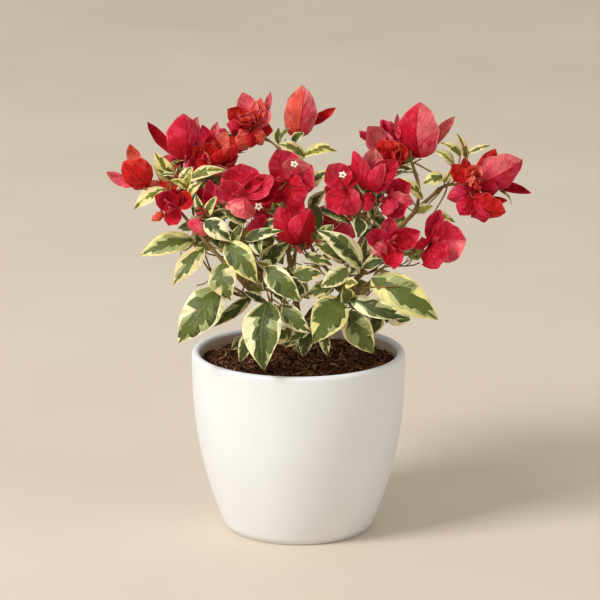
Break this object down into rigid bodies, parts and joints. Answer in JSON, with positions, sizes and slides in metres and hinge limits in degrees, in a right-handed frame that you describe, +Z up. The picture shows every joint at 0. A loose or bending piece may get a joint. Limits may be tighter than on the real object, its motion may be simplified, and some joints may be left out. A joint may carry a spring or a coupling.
{
  "type": "potted bougainvillea bush",
  "caption": "Small variegated bougainvillea bush with crimson bracts, forking from a short trunk, in a plain round-bellied white ceramic pot filled with soil.",
  "frame": {"origin": "centre of the pot's flat underside, on the surface that it stands on", "axes": "+Z up along the pot's axis, -Y towards the bush's front, +X to the right seen from the front"},
  "size_m": [0.314, 0.2164, 0.329],
  "materials": {
    "pot_ceramic": "satin",
    "potting_soil": "matte",
    "bark": "matte",
    "foliage": "matte"
  },
  "bodies": {
    "root": {"pot": "pot_ceramic", "soil": "potting_soil", "trunk": "bark", "left_bough": "bark", "right_bough": "bark", "centre_bough": "bark", "back_left_bough": "bark", "back_right_bough": "bark", "upper_left_limb": "bark", "low_left_limb": "bark", "centre_left_limb": "bark", "low_front_limb": "bark", "centre_front_limb": "bark", "centre_right_limb": "bark", "low_right_limb": "bark", "right_low_limb": "bark", "upper_right_limb": "bark", "back_limb": "bark", "left_side_limb": "bark", "right_side_limb": "bark", "low_back_left_limb": "bark", "low_back_right_limb": "bark", "far_left_mass": "foliage", "upper_left_mass": "foliage", "centre_left_mass": "foliage", "low_left_mass": "foliage", "low_front_mass": "foliage", "low_right_mass": "foliage", "centre_front_mass": "foliage", "centre_right_mass": "foliage", "right_low_mass": "foliage", "top_mass": "foliage", "upper_right_mass": "foliage", "far_right_mass": "foliage", "back_left_mass": "foliage", "back_right_mass": "foliage", "back_mass": "foliage", "left_side_mass": "foliage", "right_side_mass": "foliage", "low_back_left_mass": "foliage", "low_back_right_mass": "foliage"}
  },
  "joints": []
}
